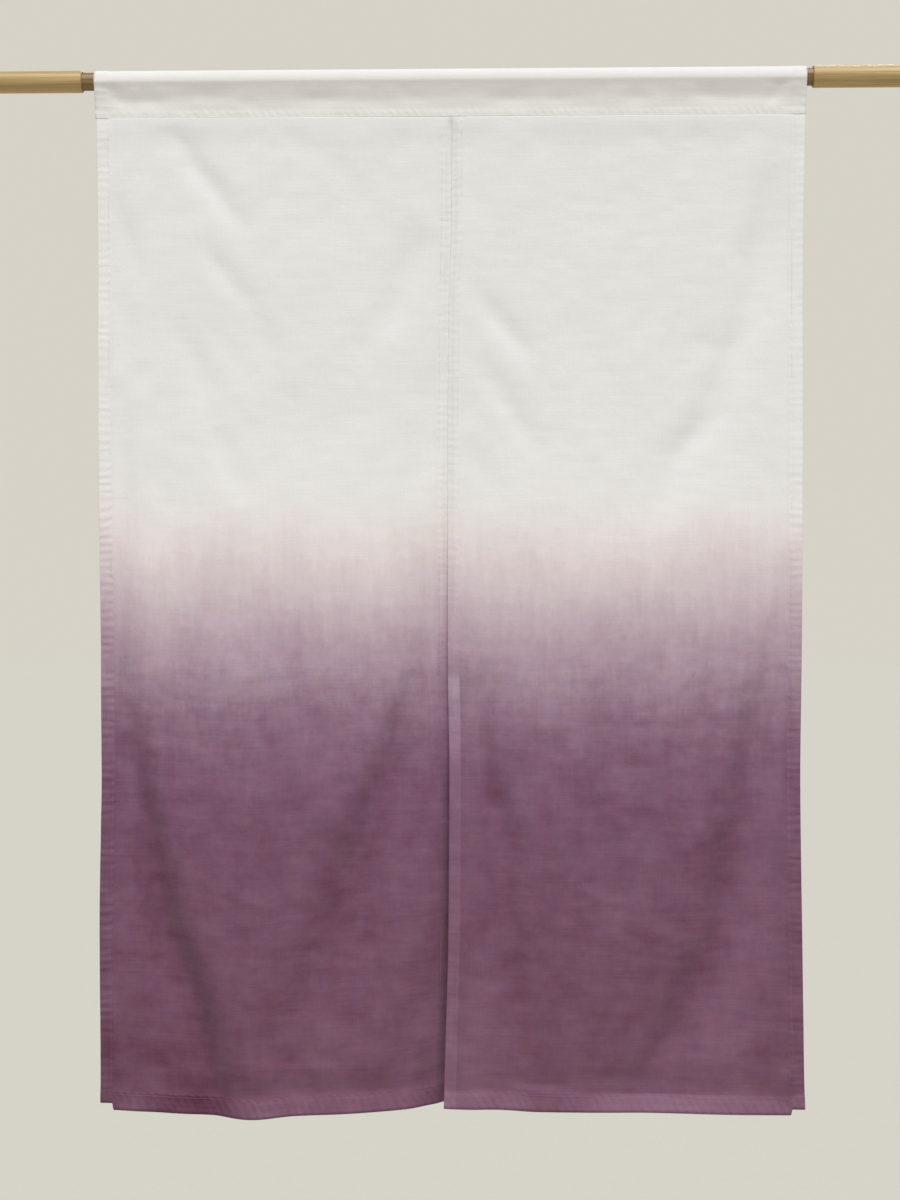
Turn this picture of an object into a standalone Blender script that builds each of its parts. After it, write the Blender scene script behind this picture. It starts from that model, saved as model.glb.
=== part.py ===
"""Noren curtain of two cloth panels under one sewn heading, hung on a plain rod.

Metres, +Z up. The front of the curtain faces -Y, and the cloth runs along X.
The origin is on the rod's axis, halfway between the rod's two ends.
"""

from collections import namedtuple
from math import acos, atan2, cos, exp, hypot, pi, sin

import bmesh
import bpy

# Rod: a thin core through the heading, and a thicker pole on each end of it
ROD_LENGTH = 1.200
CORE_RADIUS = 0.011
POLE_RADIUS = 0.0135
POLE_CHAMFER = 0.001
LEFT_POLE_STARTS = -0.457
RIGHT_POLE_STARTS = 0.447
SOCKET_DEPTH = 0.040
ROD_SIDES = 32

# Cloth
CLOTH_THICKNESS = 0.0012
HEM_THICKNESS = 0.0020
SIDE_HEM = 0.016
SLIT_HEM = 0.014
BOTTOM_HEM = 0.023
HEM_STEP = 0.001
CLEARANCE = 0.0003

# Heading: the strip hugs the rod and closes on the panels below it
HEADING_LEFT = -0.4413
HEADING_RIGHT = 0.4388
HEADING_EDGE = -0.046
HEADING_CLOSES = -0.037
HEADING_STATIONS = 32
ARC_STEPS = 12
FLANK_LEAN = 0.29  # radians that each flank leans in below the rod
FLANK_STEPS = 4
PANEL_TOP = -0.036

# Panels: how finely each is cut into faces, and where its shape starts to leave the flat
PANEL_COLUMNS = 22
PANEL_ROWS = 34
HEMS_START = -0.050
HEMS_FULL = -0.054
FOLDS_START = -0.050
FOLDS_FULL = -0.160

# The panels' four upright edges, from the heading down
Edge = namedtuple("Edge", "z left_outer left_inner right_inner right_outer")
EDGES = [
    Edge(-0.036, -0.4400, 0.0020, 0.0024, 0.4380),
    Edge(-0.190, -0.4385, 0.0012, 0.0016, 0.4355),
    Edge(-0.260, -0.4382, -0.0018, -0.0008, 0.4352),
    Edge(-0.450, -0.4380, -0.0026, -0.0016, 0.4350),
    Edge(-0.720, -0.4350, -0.0030, -0.0016, 0.4335),
    Edge(-0.860, -0.4350, -0.0016, -0.0030, 0.4318),
    Edge(-1.050, -0.4378, -0.0020, -0.0035, 0.4335),
    Edge(-1.230, -0.4368, -0.0025, -0.0060, 0.4355),
    Edge(-1.290, -0.4372, -0.0025, -0.0070, 0.4372),
]

# Height of the bottom edge, by share of the panel's width from its left side to its right
Hemline = namedtuple("Hemline", "share left_z right_z")
HEMLINES = [
    Hemline(0.00, -1.2785, -1.2725),
    Hemline(0.08, -1.2788, -1.2772),
    Hemline(0.14, -1.2792, -1.2735),
    Hemline(0.27, -1.2811, -1.2765),
    Hemline(0.43, -1.2880, -1.2781),
    Hemline(0.57, -1.2800, -1.2790),
    Hemline(0.75, -1.2759, -1.2785),
    Hemline(0.89, -1.2748, -1.2805),
    Hemline(1.00, -1.2718, -1.2795),
]
LEFT_CORNER_STEP = 0.0055
RIGHT_CORNER_STEP = 0.0080

# How far the cloth hangs behind the rod's axis, at three heights down the panel
UPPER_Z = -0.300
MIDDLE_Z = -0.760
LOWER_Z = -1.285
Hang = namedtuple("Hang", "share upper middle lower")
LEFT_HANG = [
    Hang(0.00, 0.000, 0.001, 0.008),
    Hang(0.14, -0.001, -0.003, -0.003),
    Hang(0.27, -0.001, -0.005, -0.011),
    Hang(0.43, -0.001, -0.006, -0.009),
    Hang(0.66, -0.001, -0.006, -0.012),
    Hang(0.88, 0.000, -0.001, -0.001),
    Hang(0.96, 0.000, 0.002, 0.012),
    Hang(1.00, 0.000, 0.004, 0.016),
]
RIGHT_HANG = [
    Hang(0.00, 0.000, -0.003, -0.011),
    Hang(0.08, 0.000, 0.000, 0.003),
    Hang(0.37, 0.000, -0.003, 0.001),
    Hang(0.56, 0.001, -0.003, 0.004),
    Hang(0.77, 0.000, -0.004, -0.004),
    Hang(0.89, 0.000, -0.001, -0.003),
    Hang(1.00, 0.000, -0.002, -0.009),
]

# Long soft folds: where the trough's line runs, how deep it is there, and how wide it is
# on its left and on its right
Fold = namedtuple("Fold", "z x depth left right")
LEFT_OUTER_FOLD = [
    Fold(-0.120, -0.408, 0.0000, 0.014, 0.014),
    Fold(-0.300, -0.407, 0.0035, 0.014, 0.015),
    Fold(-0.480, -0.412, 0.0020, 0.014, 0.016),
    Fold(-0.700, -0.415, 0.0060, 0.018, 0.020),
    Fold(-0.776, -0.408, 0.0095, 0.022, 0.022),
    Fold(-0.867, -0.395, 0.0140, 0.034, 0.025),
    Fold(-0.956, -0.376, 0.0170, 0.044, 0.028),
    Fold(-1.023, -0.366, 0.0190, 0.052, 0.030),
    Fold(-1.103, -0.345, 0.0200, 0.060, 0.031),
    Fold(-1.188, -0.322, 0.0200, 0.064, 0.032),
    Fold(-1.290, -0.298, 0.0160, 0.064, 0.034),
]
LEFT_INNER_FOLD = [
    Fold(-0.560, -0.028, 0.0000, 0.018, 0.018),
    Fold(-0.716, -0.038, 0.0070, 0.022, 0.026),
    Fold(-0.791, -0.058, 0.0120, 0.024, 0.034),
    Fold(-0.867, -0.077, 0.0155, 0.026, 0.044),
    Fold(-0.941, -0.101, 0.0160, 0.026, 0.054),
    Fold(-1.053, -0.124, 0.0130, 0.028, 0.058),
    Fold(-1.110, -0.152, 0.0090, 0.030, 0.058),
    Fold(-1.220, -0.200, 0.0015, 0.032, 0.058),
]
RIGHT_UPPER_FOLD = [
    Fold(-0.050, 0.404, 0.0020, 0.014, 0.014),
    Fold(-0.150, 0.393, 0.0050, 0.018, 0.022),
    Fold(-0.230, 0.379, 0.0060, 0.020, 0.028),
    Fold(-0.304, 0.365, 0.0050, 0.020, 0.030),
    Fold(-0.397, 0.325, 0.0036, 0.022, 0.034),
    Fold(-0.470, 0.287, 0.0028, 0.024, 0.036),
    Fold(-0.560, 0.252, 0.0000, 0.026, 0.036),
]
RIGHT_OUTER_FOLD = [
    Fold(-0.560, 0.417, 0.0000, 0.014, 0.016),
    Fold(-0.716, 0.399, 0.0070, 0.018, 0.020),
    Fold(-0.776, 0.384, 0.0110, 0.021, 0.028),
    Fold(-0.836, 0.374, 0.0140, 0.024, 0.036),
    Fold(-0.896, 0.366, 0.0160, 0.026, 0.042),
    Fold(-0.956, 0.346, 0.0165, 0.027, 0.052),
    Fold(-1.038, 0.338, 0.0160, 0.028, 0.056),
    Fold(-1.097, 0.318, 0.0150, 0.029, 0.060),
    Fold(-1.158, 0.294, 0.0120, 0.030, 0.062),
    Fold(-1.202, 0.270, 0.0090, 0.030, 0.062),
    Fold(-1.290, 0.240, 0.0045, 0.032, 0.062),
]
RIGHT_INNER_FOLD = [
    Fold(-0.640, 0.024, 0.0000, 0.010, 0.014),
    Fold(-0.776, 0.031, 0.0060, 0.012, 0.016),
    Fold(-0.836, 0.037, 0.0100, 0.015, 0.020),
    Fold(-0.882, 0.048, 0.0115, 0.018, 0.022),
    Fold(-0.926, 0.061, 0.0105, 0.024, 0.024),
    Fold(-1.053, 0.069, 0.0060, 0.030, 0.026),
    Fold(-1.250, 0.110, 0.0030, 0.030, 0.028),
]

# Dents in the heading's front, below the rod
Dent = namedtuple("Dent", "x half_width depth")
DENT_HEIGHT = -0.024
DENT_HALF_HEIGHT = 0.007
DENTS = [
    Dent(-0.385, 0.030, 0.0026),
    Dent(-0.300, 0.026, 0.0016),
    Dent(-0.160, 0.040, 0.0024),
    Dent(-0.045, 0.018, 0.0014),
    Dent(0.070, 0.028, 0.0024),
    Dent(0.225, 0.022, 0.0018),
    Dent(0.330, 0.045, 0.0028),
]

# Each panel's cut: its columns in the tables above, its side hems' widths,
# and how far each side hem ends above the bottom hem
Cut = namedtuple("Cut", "left_edge right_edge hemline left_hem right_hem left_step right_step")
LEFT_CUT = Cut(
    "left_outer", "left_inner", "left_z", SIDE_HEM, SLIT_HEM, LEFT_CORNER_STEP, 0.0
)
RIGHT_CUT = Cut(
    "right_inner", "right_outer", "right_z", SLIT_HEM, SIDE_HEM, 0.0, RIGHT_CORNER_STEP
)

# Colours, roughness and shading
PALE_CLOTH = (0.74, 0.72, 0.70, 1.0)
DYED_CLOTH = (0.33, 0.19, 0.28, 1.0)
DARK_WOOD = (0.22, 0.14, 0.06, 1.0)
PALE_WOOD = (0.55, 0.40, 0.16, 1.0)
CLOTH_ROUGHNESS = 0.9
WOOD_ROUGHNESS = 0.5
SHARP_ANGLE = pi / 5


def clear_scene():
    for obj in list(bpy.data.objects):
        bpy.data.objects.remove(obj, do_unlink=True)


def finish_for(name, colour, roughness):
    material = bpy.data.materials.new(name)
    material.use_nodes = True
    shader = material.node_tree.nodes["Principled BSDF"]
    shader.inputs["Base Color"].default_value = colour
    shader.inputs["Roughness"].default_value = roughness
    shader.inputs["Metallic"].default_value = 0.0
    return material


def add_object(name, bm, material):
    """Turns a finished bmesh into a smooth-shaded object with its own material."""
    bmesh.ops.recalc_face_normals(bm, faces=bm.faces)
    mesh = bpy.data.meshes.new(name)
    bm.to_mesh(mesh)
    bm.free()
    mesh.shade_smooth()
    mesh.set_sharp_from_angle(angle=SHARP_ANGLE)
    mesh.materials.append(material)
    obj = bpy.data.objects.new(name, mesh)
    bpy.context.scene.collection.objects.link(obj)
    return obj


def fade(value, start, end):
    """Goes smoothly from 0 at start to 1 at end."""
    share = min(max((value - start) / (end - start), 0.0), 1.0)
    return share * share * (3 - 2 * share)


def slope_at(keys, values, i):
    """The slope of a smooth curve at one of its rows, level wherever the rows turn back."""
    if i in (0, len(keys) - 1):
        return 0.0
    before = (values[i] - values[i - 1]) / (keys[i] - keys[i - 1])
    after = (values[i + 1] - values[i]) / (keys[i + 1] - keys[i])
    return 2 * before * after / (before + after) if before * after > 0 else 0.0


def read_curve(rows, column, at):
    """Reads a column on a smooth curve through a table whose first column is the position."""
    rows = sorted(rows)
    keys = [row[0] for row in rows]
    values = [getattr(row, column) for row in rows]
    at = min(max(at, keys[0]), keys[-1])
    i = max(k for k in range(len(keys) - 1) if keys[k] <= at)
    step = keys[i + 1] - keys[i]
    share = (at - keys[i]) / step
    rise = values[i + 1] - values[i]
    start_slope = slope_at(keys, values, i) * step
    end_slope = slope_at(keys, values, i + 1) * step
    bend = share * (1 - share)
    return (
        values[i]
        + rise * share * share * (3 - 2 * share)
        + bend * (1 - share) * start_slope
        - bend * share * end_slope
    )


def trough(fold, x, z):
    """How far one fold pushes the cloth back at a point."""
    depth = read_curve(fold, "depth", z)
    offset = x - read_curve(fold, "x", z)
    offset /= read_curve(fold, "left" if offset < 0 else "right", z)
    inside = min(row.z for row in fold) <= z <= max(row.z for row in fold)
    return depth * exp(-offset * offset) if inside else 0.0


def hang_at(hang, share, z):
    """How far behind the rod's axis the cloth hangs, before its folds."""
    upper = read_curve(hang, "upper", share) * fade(z, FOLDS_START, UPPER_Z)
    middle = read_curve(hang, "middle", share)
    lower = read_curve(hang, "lower", share)
    to_middle = fade(z, UPPER_Z, MIDDLE_Z)
    to_lower = fade(z, MIDDLE_Z, LOWER_Z)
    return upper + (middle - upper) * to_middle + (lower - middle) * to_lower


def grid_solid(front, back):
    """Joins two equal grids of points, rows of columns, into one closed sheet."""
    bm = bmesh.new()
    faces = [[[bm.verts.new(point) for point in row] for row in grid] for grid in (front, back)]
    rows, columns = len(front), len(front[0])
    for side in faces:
        for i in range(rows - 1):
            for j in range(columns - 1):
                bm.faces.new((side[i][j], side[i][j + 1], side[i + 1][j + 1], side[i + 1][j]))
    near, far = faces
    for i in range(rows - 1):
        for j in (0, columns - 1):
            bm.faces.new((near[i][j], near[i + 1][j], far[i + 1][j], far[i][j]))
    for j in range(columns - 1):
        for i in (0, rows - 1):
            bm.faces.new((near[i][j], near[i][j + 1], far[i][j + 1], far[i][j]))
    return bm


def make_panel(name, cut, hang, folds, material):
    """One hemmed panel: a grid of points down and across its cut, moved to where the cloth hangs."""
    left_hem, right_hem = cut.left_hem, cut.right_hem
    width = read_curve(EDGES, cut.right_edge, PANEL_TOP)
    width -= read_curve(EDGES, cut.left_edge, PANEL_TOP)
    hem_lines = [left_hem, left_hem + HEM_STEP, width - right_hem - HEM_STEP, width - right_hem]
    field = hem_lines[2] - hem_lines[1]
    across = [0.0, *hem_lines[:2]]
    across += [hem_lines[1] + field * k / PANEL_COLUMNS for k in range(1, PANEL_COLUMNS)]
    across += [*hem_lines[2:], width]
    height = PANEL_TOP - LOWER_Z
    down = [0.0, PANEL_TOP - HEMS_START, PANEL_TOP - HEMS_FULL]
    plain = height - BOTTOM_HEM - HEM_STEP - down[-1]
    down += [down[2] + plain * k / PANEL_ROWS for k in range(1, PANEL_ROWS + 1)]
    down += [height - BOTTOM_HEM, height]

    front, back = [], []
    for depth in down:
        front.append([])
        back.append([])
        for reach in across:
            share = reach / width
            on_left_hem = reach <= left_hem
            on_right_hem = reach >= width - right_hem
            bottom = read_curve(HEMLINES, cut.hemline, share)
            bottom += cut.left_step * on_left_hem + cut.right_step * on_right_hem
            z = PANEL_TOP + (bottom - PANEL_TOP) * depth / height
            left_x = read_curve(EDGES, cut.left_edge, z)
            x = left_x + (read_curve(EDGES, cut.right_edge, z) - left_x) * share
            y = hang_at(hang, share, z)
            y += sum(trough(fold, x, z) for fold in folds) * fade(z, FOLDS_START, FOLDS_FULL)
            on_hem = on_left_hem or on_right_hem or depth >= height - BOTTOM_HEM
            extra = (HEM_THICKNESS - CLOTH_THICKNESS) * on_hem * fade(z, HEMS_START, HEMS_FULL)
            half = (CLOTH_THICKNESS + extra) / 2
            front[-1].append((x, y - half, z))
            back[-1].append((x, y + half, z))
    return add_object(name, grid_solid(front, back), material)


def heading_path():
    """The middle of the heading strip seen from its end, from the front edge over the rod to the back."""
    gap = CLOTH_THICKNESS + CLEARANCE
    chord_lift = cos((pi / 2 + FLANK_LEAN) / ARC_STEPS)
    over = (CORE_RADIUS + CLEARANCE) / chord_lift + CLOTH_THICKNESS / 2
    reach = hypot(gap, HEADING_CLOSES)
    leaves = atan2(HEADING_CLOSES, -gap) - acos(over / reach)
    leave_y, leave_z = over * cos(leaves), over * sin(leaves)
    front = [(-gap, HEADING_EDGE)]
    for k in range(FLANK_STEPS):
        share = k / FLANK_STEPS
        front.append(
            (-gap + (leave_y + gap) * share, HEADING_CLOSES + (leave_z - HEADING_CLOSES) * share)
        )
    turn = pi + 2 * (pi + leaves)
    arc = [leaves - turn * k / ARC_STEPS for k in range(ARC_STEPS + 1)]
    top = [(over * cos(angle), over * sin(angle)) for angle in arc]
    return front + top + [(-y, z) for y, z in reversed(front)]


def dented(path, x):
    """The same path where dents push the front layer back, at one place along the rod."""
    push = sum(dent.depth * exp(-(((x - dent.x) / dent.half_width) ** 2)) for dent in DENTS)
    moved = []
    for y, z in path:
        height = exp(-(((z - DENT_HEIGHT) / DENT_HALF_HEIGHT) ** 2))
        moved.append((y + push * height * (y < 0), z))
    return moved


def make_heading(material):
    path = heading_path()
    outer, inner = [], []
    for k in range(HEADING_STATIONS + 1):
        x = HEADING_LEFT + (HEADING_RIGHT - HEADING_LEFT) * k / HEADING_STATIONS
        points = dented(path, x)
        outer.append([])
        inner.append([])
        for i, (y, z) in enumerate(points):
            before = points[max(i - 1, 0)]
            after = points[min(i + 1, len(points) - 1)]
            run = hypot(after[0] - before[0], after[1] - before[1])
            out_y = -(after[1] - before[1]) / run * CLOTH_THICKNESS / 2
            out_z = (after[0] - before[0]) / run * CLOTH_THICKNESS / 2
            outer[-1].append((x, y + out_y, z + out_z))
            inner[-1].append((x, y - out_y, z - out_z))
    return add_object("heading", grid_solid(outer, inner), material)


def turned(name, profile, material):
    """A body turned about the X axis from (x, radius) points, whose first and last radius are 0."""
    bm = bmesh.new()
    rings = []
    for x, radius in profile[1:-1]:
        turns = [2 * pi * k / ROD_SIDES for k in range(ROD_SIDES)]
        rings.append([bm.verts.new((x, radius * cos(a), radius * sin(a))) for a in turns])
    for first, second in zip(rings, rings[1:]):
        for k in range(ROD_SIDES):
            m = (k + 1) % ROD_SIDES
            bm.faces.new((first[k], first[m], second[m], second[k]))
    bm.faces.new(rings[0])
    bm.faces.new(rings[-1])
    return add_object(name, bm, material)


def make_core(material):
    left = LEFT_POLE_STARTS - SOCKET_DEPTH
    right = RIGHT_POLE_STARTS + SOCKET_DEPTH
    profile = [(left, 0.0), (left, CORE_RADIUS), (right, CORE_RADIUS), (right, 0.0)]
    return turned("rod_core", profile, material)


def make_pole(name, mouth, end, material):
    """A pole with a blind socket in its mouth for the core. end is the pole's outer face."""
    way = 1 if end > mouth else -1
    floor = mouth + way * (SOCKET_DEPTH + CLEARANCE)
    bore = CORE_RADIUS + CLEARANCE
    chamfer = POLE_CHAMFER
    profile = [
        (floor, 0.0),
        (floor, bore),
        (mouth, bore),
        (mouth, POLE_RADIUS - chamfer),
        (mouth + way * chamfer, POLE_RADIUS),
        (end - way * chamfer, POLE_RADIUS),
        (end, POLE_RADIUS - chamfer),
        (end, 0.0),
    ]
    return turned(name, profile, material)


def main():
    clear_scene()
    pale_cloth = finish_for("heading_cloth", PALE_CLOTH, CLOTH_ROUGHNESS)
    left_cloth = finish_for("panel_left_cloth", DYED_CLOTH, CLOTH_ROUGHNESS)
    right_cloth = finish_for("panel_right_cloth", DYED_CLOTH, CLOTH_ROUGHNESS)
    dark_wood = finish_for("core_wood", DARK_WOOD, WOOD_ROUGHNESS)
    left_wood = finish_for("pole_left_wood", PALE_WOOD, WOOD_ROUGHNESS)
    right_wood = finish_for("pole_right_wood", PALE_WOOD, WOOD_ROUGHNESS)

    make_core(dark_wood)
    make_pole("rod_end_left", LEFT_POLE_STARTS, -ROD_LENGTH / 2, left_wood)
    make_pole("rod_end_right", RIGHT_POLE_STARTS, ROD_LENGTH / 2, right_wood)
    make_heading(pale_cloth)
    left_folds = (LEFT_OUTER_FOLD, LEFT_INNER_FOLD)
    right_folds = (RIGHT_UPPER_FOLD, RIGHT_OUTER_FOLD, RIGHT_INNER_FOLD)
    make_panel("panel_left", LEFT_CUT, LEFT_HANG, left_folds, left_cloth)
    make_panel("panel_right", RIGHT_CUT, RIGHT_HANG, right_folds, right_cloth)


main()
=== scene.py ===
# %% [markdown]
# A noren, a doorway curtain, is two hemmed cloth panels sewn side by side under one folded
# strip, the heading, through which a wooden rod passes. This one is dip dyed: white at the
# top, plum at the bottom, with a soft front in between.
# This notebook dresses its imported model. The rod's solids stay and get wood finishes. The
# three plain cloth solids are replaced by fine meshes on nearly the same shapes, with
# hems, stitches, creases and a weave. First the imported model is loaded.

# %% Load the imported model
from collections import namedtuple
from functools import reduce
from math import acos, atan2, ceil, cos, hypot, pi, radians, sin

import bpy
import numpy as np
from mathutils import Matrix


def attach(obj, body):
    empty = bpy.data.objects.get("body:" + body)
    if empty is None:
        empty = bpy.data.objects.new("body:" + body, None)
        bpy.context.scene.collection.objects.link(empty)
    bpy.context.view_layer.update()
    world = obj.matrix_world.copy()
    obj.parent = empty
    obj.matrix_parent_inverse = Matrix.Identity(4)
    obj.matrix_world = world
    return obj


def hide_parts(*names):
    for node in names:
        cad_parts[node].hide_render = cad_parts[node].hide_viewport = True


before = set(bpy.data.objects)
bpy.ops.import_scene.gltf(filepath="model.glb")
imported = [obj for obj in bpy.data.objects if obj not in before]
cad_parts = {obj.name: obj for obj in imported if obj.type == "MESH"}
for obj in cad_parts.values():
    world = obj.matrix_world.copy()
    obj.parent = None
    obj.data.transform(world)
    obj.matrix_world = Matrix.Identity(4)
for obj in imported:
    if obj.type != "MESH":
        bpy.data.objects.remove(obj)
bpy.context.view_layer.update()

# %% [markdown]
# The camera comes first, because every later choice is judged through it. The cloth is
# seen from straight ahead at the height of its middle, and very slightly from its right.
# The lens follows from the distance and from how much of the curtain's plane fills the
# tall side of the picture. The "Standard" view keeps the dye's colours as they are set,
# where the default view would fade the white and dull the plum.


# %% Camera
def put_in_scene(name, data):
    """Makes an object of a mesh, a lamp or a camera."""
    obj = bpy.data.objects.new(name, data)
    bpy.context.scene.collection.objects.link(obj)
    return obj


PICTURE_HEIGHT = 1200  # pixels, the tall side of the picture
METRES_PER_PIXEL = 0.0012386  # on the plane of the curtain
CAMERA_DISTANCE = 2.5
CAMERA_HEIGHT = -0.645
CAMERA_YAW = radians(1.6)
SENSOR = 36.0  # millimetres, along the tall side

camera_data = bpy.data.cameras.new("camera")
camera_data.sensor_width = SENSOR
camera_data.lens = SENSOR * CAMERA_DISTANCE / (PICTURE_HEIGHT * METRES_PER_PIXEL)
camera = put_in_scene("camera", camera_data)
camera.location = (
    CAMERA_DISTANCE * sin(CAMERA_YAW),
    -CAMERA_DISTANCE * cos(CAMERA_YAW),
    CAMERA_HEIGHT,
)
camera.rotation_euler = (pi / 2, 0.0, CAMERA_YAW)
bpy.context.scene.camera = camera
bpy.context.scene.view_settings.view_transform = "Standard"
print(f"lens {camera_data.lens:.1f} mm")

# %% [markdown]
# The cloth's own sizes follow, in metres: how thick the cloth and its hems are, how wide
# each hem is, and where the panels' edges run from the heading down. They are nearly the
# ones that the solids were made from. Each panel's edges lean in and out by a few
# millimetres, and the bottom edge rises and falls, as hand-sewn cloth does. Such numbers
# are kept as tables of named rows.


# %% Sizes of the cloth
def table(kind, *lines):
    """Named rows of values that are given in thousandths, so lengths in millimetres."""
    return [kind(*(value / 1000 for value in line)) for line in lines]


CLOTH_THICKNESS = 0.0012
HEM_THICKNESS = 0.0020
SIDE_HEM = 0.016
SLIT_HEM = 0.014
BOTTOM_HEM = 0.023
CLEARANCE = 0.0003
CORE_RADIUS = 0.011
HEADING_LEFT = -0.4413
HEADING_RIGHT = 0.4388
HEADING_EDGE = -0.046
HEADING_CLOSES = -0.037
PANEL_TOP = -0.036
HEMS_START, HEMS_FULL = -0.050, -0.054  # the heights between which each of these grows
FOLDS_START, FOLDS_FULL = -0.050, -0.160
CREASES_FULL = -0.075
CURL_FULL = -0.060
UPPER_Z, MIDDLE_Z, LOWER_Z = -0.300, -0.760, -1.285
PANEL_HEIGHT = PANEL_TOP - LOWER_Z

Edge = namedtuple("Edge", "z left_start left_end right_start right_end")
EDGES = table(
    Edge,
    (-36, -440, 2, 2.4, 438),
    (-190, -438.5, 1.2, 1.6, 435.5),
    (-260, -438.2, -0.4, -1.2, 435.2),
    (-450, -438, -2, -2.8, 435),
    (-720, -435, -2, -2.8, 433.5),
    (-860, -435, 0.8, -0.8, 431.8),
    (-1050, -437.8, 0.2, -1.8, 433.5),
    (-1230, -436.8, -3.6, -6.4, 435.5),
    (-1290, -437.2, -4.4, -7.6, 437.2),
)
Hemline = namedtuple("Hemline", "share left right")
HEMLINES = table(
    Hemline,
    (0, -1281.6, -1273.2),
    (80, -1282.2, -1277.4),
    (140, -1282.8, -1276.8),
    (270, -1286.8, -1279.3),
    (430, -1289.2, -1279.6),
    (570, -1282.6, -1280.6),
    (750, -1279, -1279.6),
    (890, -1275.8, -1280),
    (1000, -1272, -1278.6),
)
LEFT_CORNER_STEP, RIGHT_CORNER_STEP = 0.0084, 0.0072

# The cloth curls back just above the stiff bottom hem, which then faces a little upwards
Foot = namedtuple("Foot", "share left right")
FEET = table(
    Foot,
    (0, 0.4, 0.8),
    (180, 0.2, 1.6),
    (280, 0.4, 2),
    (380, 3, 2.2),
    (600, 3.4, 2.4),
    (840, 3, 2),
    (940, 0.8, 1),
    (1000, 0.2, 0.4),
)
FOOT_HEIGHT, FOOT_REACH = 0.030, 0.016
FOOT_BACK, FOOT_RUN = 0.4, 0.012  # the share by which the hem itself comes back, and where
print("cloth", round(EDGES[0].right_end - EDGES[0].left_start, 3), "m wide")

# %% [markdown]
# A hung cloth never lies in one plane. These rows say how far each panel hangs behind
# the rod at three heights, and where its long soft folds run. They are given one by one,
# because a simulation under gravity alone would not put a fold where this cloth has it.
# A fold is a trough: a line down the cloth, with a depth and two widths at each height.

# %% How the panels hang
Hang = namedtuple("Hang", "share upper middle lower")
LEFT_HANG = table(
    Hang,
    (0, 0, 1, 8),
    (140, -1, -3, -3),
    (270, -1, -5, -11),
    (430, -1, -6, -9),
    (660, -1, -6, -12),
    (880, 0, -1, -1),
    (960, 0, 2, 12),
    (1000, 0, 4, 16),
)
RIGHT_HANG = table(
    Hang,
    (0, 0, -3, -11),
    (80, 0, 0, 3),
    (370, 0, -3, 1),
    (560, 1, -3, 4),
    (770, 0, -4, -4),
    (890, 0, -1, -3),
    (1000, 0, -2, -9),
)
Fold = namedtuple("Fold", "z x depth left right")
LEFT_FOLDS = [
    table(
        Fold,
        (-120, -408, 0, 14, 14),
        (-300, -407, 3.5, 14, 15),
        (-480, -412, 2, 14, 16),
        (-700, -415, 6, 18, 20),
        (-776, -408, 9.5, 22, 22),
        (-867, -395, 15, 34, 25),
        (-956, -376, 19.5, 44, 27),
        (-1023, -366, 21.5, 52, 29),
        (-1103, -338, 22.5, 60, 28),
        (-1188, -314, 23, 66, 29),
        (-1290, -298, 21.5, 68, 30),
    ),
    table(
        Fold,
        (-560, -34, 0, 12, 12),
        (-716, -44, 3.6, 12, 16),
        (-791, -58, 10, 18, 24),
        (-867, -77, 15.5, 26, 44),
        (-941, -106, 16, 28, 54),
        (-1053, -138, 13, 32, 58),
        (-1110, -162, 9, 34, 58),
        (-1220, -200, 1.5, 32, 58),
    ),
]
RIGHT_FOLDS = [
    table(
        Fold,
        (-50, 404, 2, 14, 14),
        (-150, 393, 5, 18, 22),
        (-230, 379, 6, 20, 28),
        (-304, 365, 5, 20, 30),
        (-397, 325, 3.6, 22, 34),
        (-470, 287, 2.8, 24, 36),
        (-560, 252, 0, 26, 36),
    ),
    table(
        Fold,
        (-560, 417, 0, 14, 16),
        (-716, 399, 7, 18, 20),
        (-776, 384, 11, 21, 28),
        (-836, 374, 14, 24, 36),
        (-896, 366, 16, 26, 42),
        (-956, 346, 16.5, 27, 52),
        (-1038, 338, 16, 28, 56),
        (-1097, 318, 15, 29, 60),
        (-1158, 294, 12, 30, 62),
        (-1202, 270, 9, 30, 62),
        (-1290, 240, 4.5, 32, 62),
    ),
    table(
        Fold,
        (-640, 24, 0, 10, 14),
        (-776, 31, 6, 12, 16),
        (-836, 37, 10, 15, 20),
        (-882, 48, 11.5, 18, 22),
        (-926, 61, 10.5, 24, 24),
        (-1053, 69, 6, 30, 26),
        (-1250, 110, 3, 30, 28),
    ),
]
print(len(LEFT_FOLDS) + len(RIGHT_FOLDS), "long folds")

# %% [markdown]
# Smaller creases lie between the folds, where the cloth was once folded or pulls from a
# corner. Each is a soft line from one point to another. A positive depth is a trough and
# a negative one a ridge.

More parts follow.
